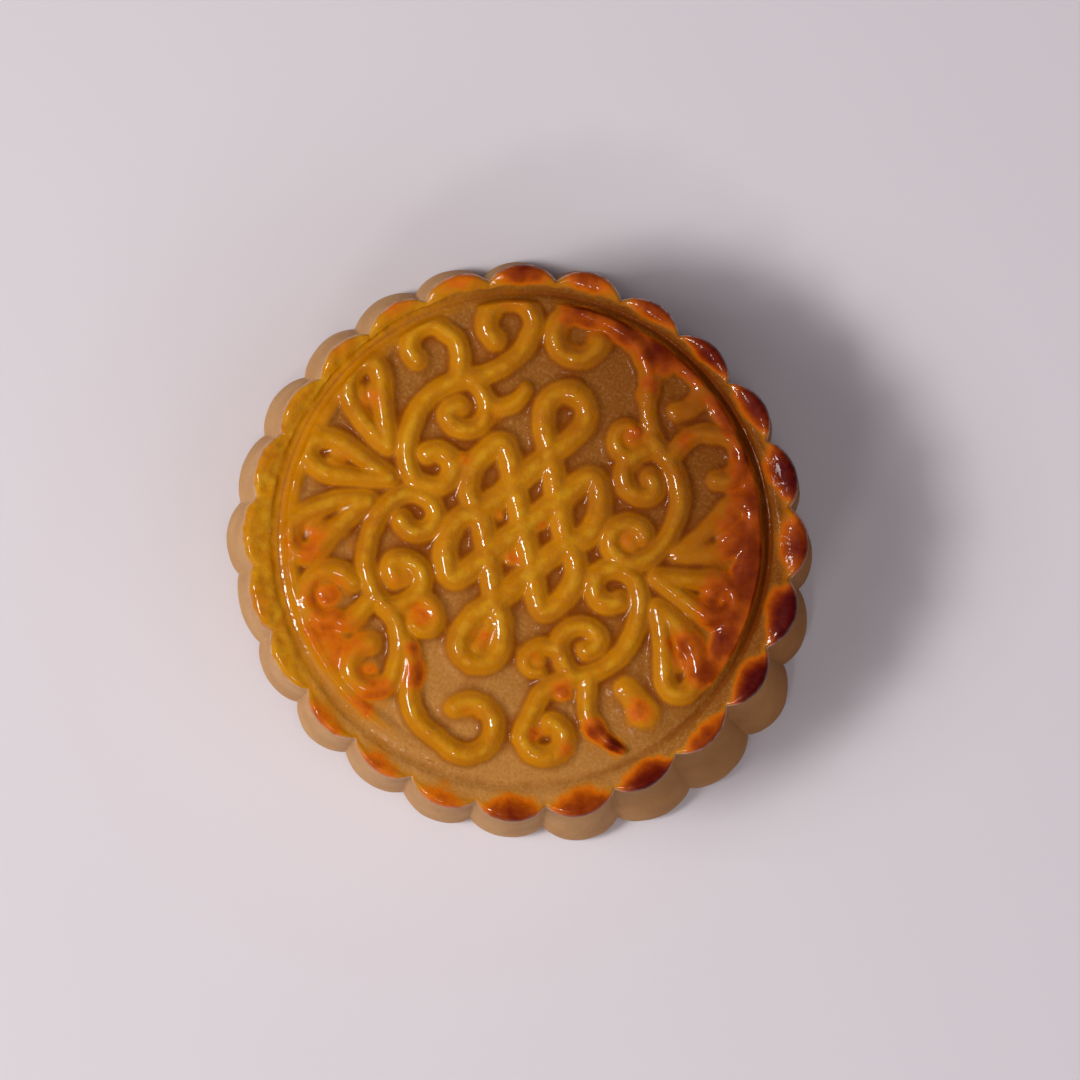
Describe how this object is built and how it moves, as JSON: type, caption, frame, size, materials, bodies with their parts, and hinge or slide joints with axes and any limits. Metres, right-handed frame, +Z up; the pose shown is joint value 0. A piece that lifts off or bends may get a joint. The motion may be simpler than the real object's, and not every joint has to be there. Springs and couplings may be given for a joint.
{
  "type": "mooncake",
  "caption": "Whole baked mooncake: a round cake with a fluted side, a scalloped rim and a pressed relief of a knot, vines and petals on top.",
  "frame": {"origin": "middle of the flat base, on the axis of the scalloped rim", "axes": "+Z up through the pressed top, +X along the line of the two petal fans, +Y along the long axis of the knot"},
  "size_m": [0.0816, 0.0783, 0.0327],
  "materials": {
    "baked_crust": "baked egg-washed pastry, golden brown, satin to glossy on top and matt on the side"
  },
  "bodies": {
    "root": {"mooncake": "baked_crust"}
  },
  "joints": []
}
